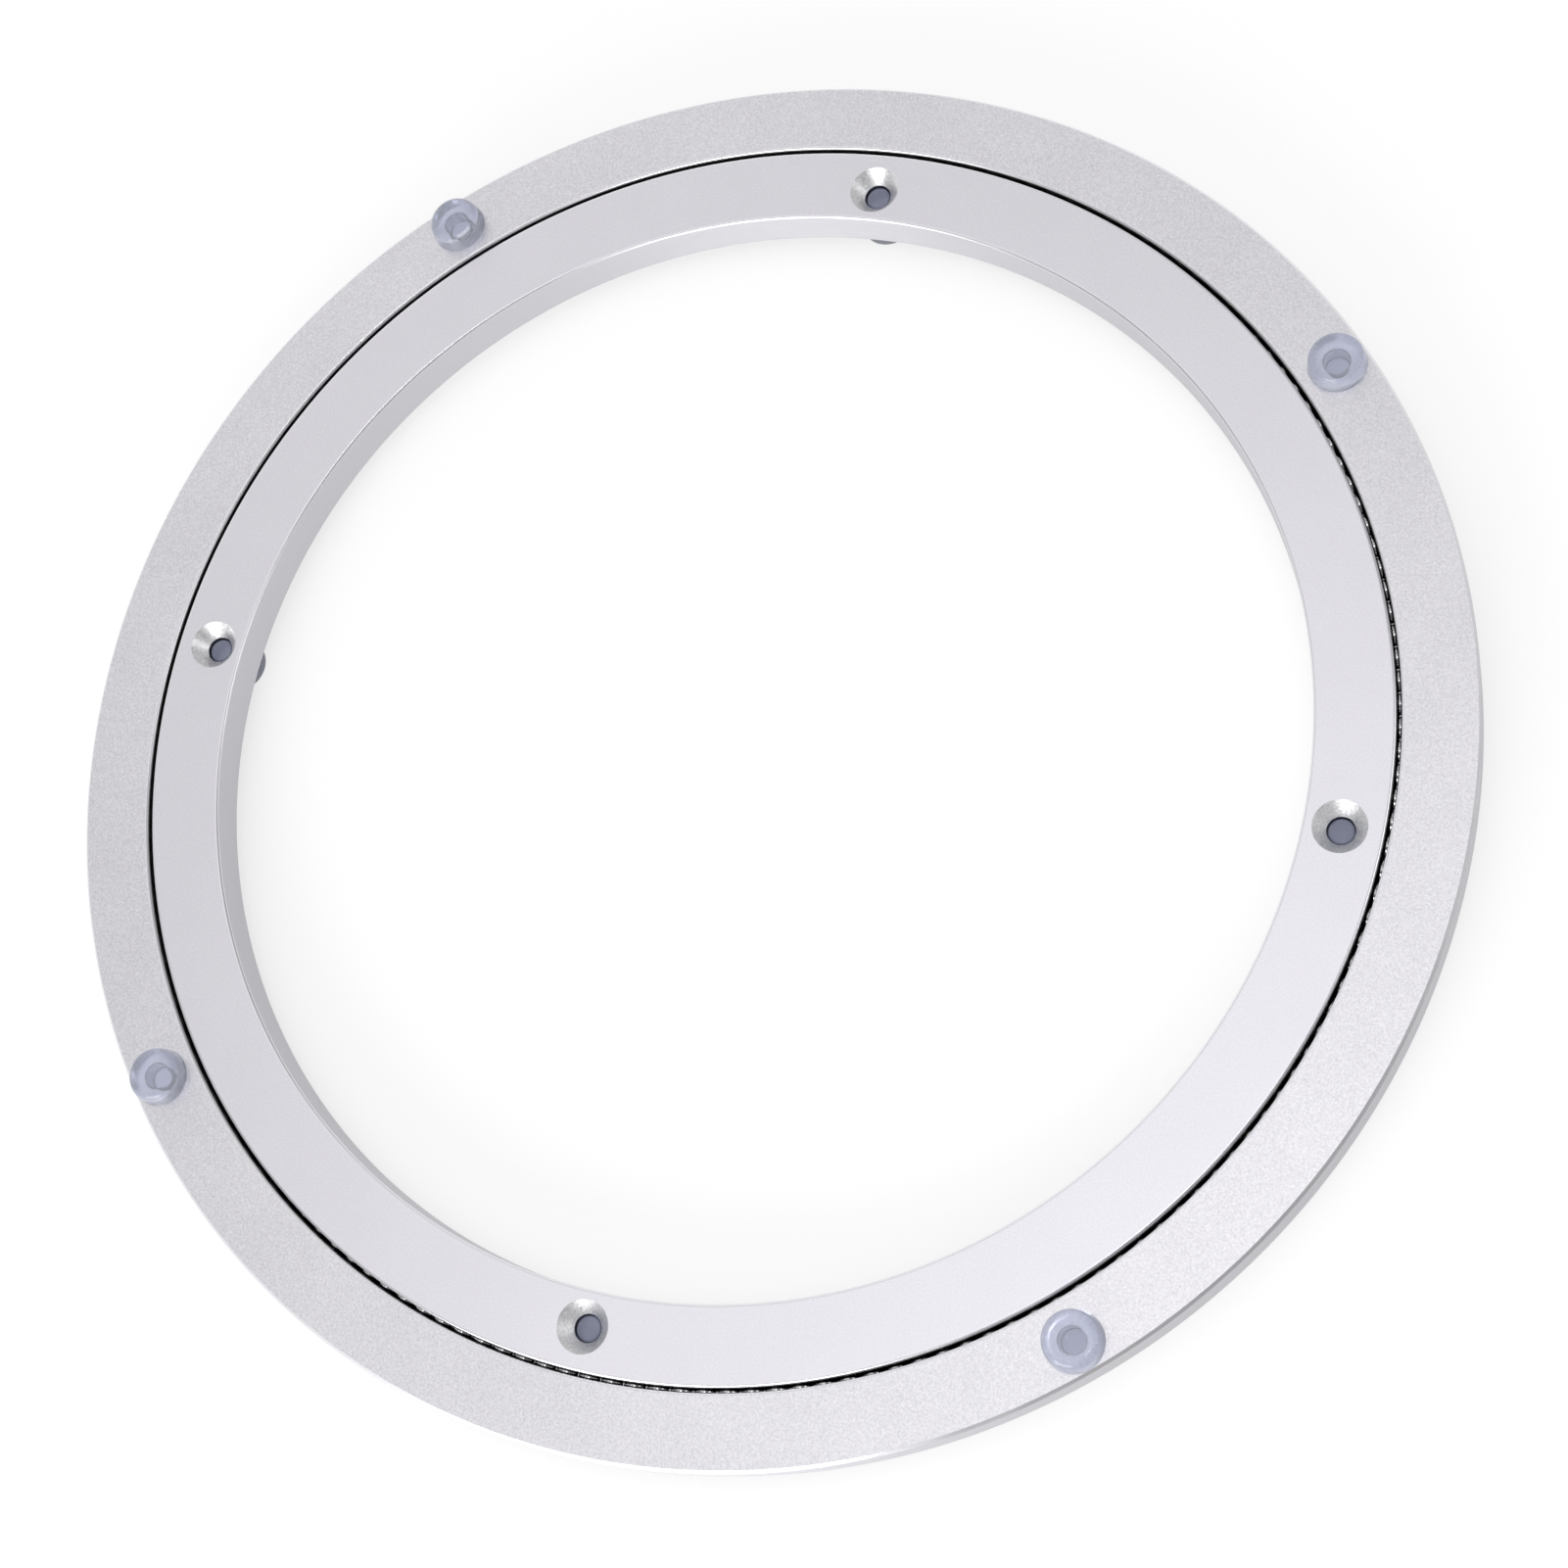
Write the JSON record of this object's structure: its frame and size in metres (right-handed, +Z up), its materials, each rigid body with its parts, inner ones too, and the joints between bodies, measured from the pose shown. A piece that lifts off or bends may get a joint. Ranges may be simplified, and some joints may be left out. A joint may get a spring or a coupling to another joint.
{
  "type": "lazy susan bearing",
  "caption": "Flat turntable bearing: an aluminium outer ring turns on an inner ring over hidden steel balls, with countersunk screw holes and clear bumper pads above and below.",
  "frame": {"origin": "middle of the bore, on the floor that the foot pads stand on", "axes": "+Z up along the turning axis, +X through the first screw hole of the inner ring"},
  "size_m": [0.25, 0.25, 0.015],
  "materials": {
    "ring_metal": "blasted satin silver",
    "ball_steel": "polished steel",
    "clear_pad": "clear silicone with a faint blue tint"
  },
  "bodies": {
    "base": {"inner_ring": "ring_metal", "foot_pad_1": "clear_pad", "foot_pad_2": "clear_pad", "foot_pad_3": "clear_pad", "foot_pad_4": "clear_pad"},
    "turntable": {"outer_ring": "ring_metal", "filler_plug": "ring_metal", "top_pad_1": "clear_pad", "top_pad_2": "clear_pad", "top_pad_3": "clear_pad", "top_pad_4": "clear_pad"},
    "ball_set": {"bearing_balls": "ball_steel"}
  },
  "joints": [
    {"name": "turntable_spin", "type": "hinge", "parent": "base", "child": "turntable", "pos_m": [0, 0, 0.0075], "axis": [0, 0, 1], "continuous": true},
    {"name": "ball_orbit", "type": "hinge", "parent": "base", "child": "ball_set", "pos_m": [0, 0, 0.0075], "axis": [0, 0, 1], "continuous": true}
  ],
  "couplings": [
    {"joint": "ball_orbit", "follows": "turntable_spin", "ratio": 0.5063}
  ]
}
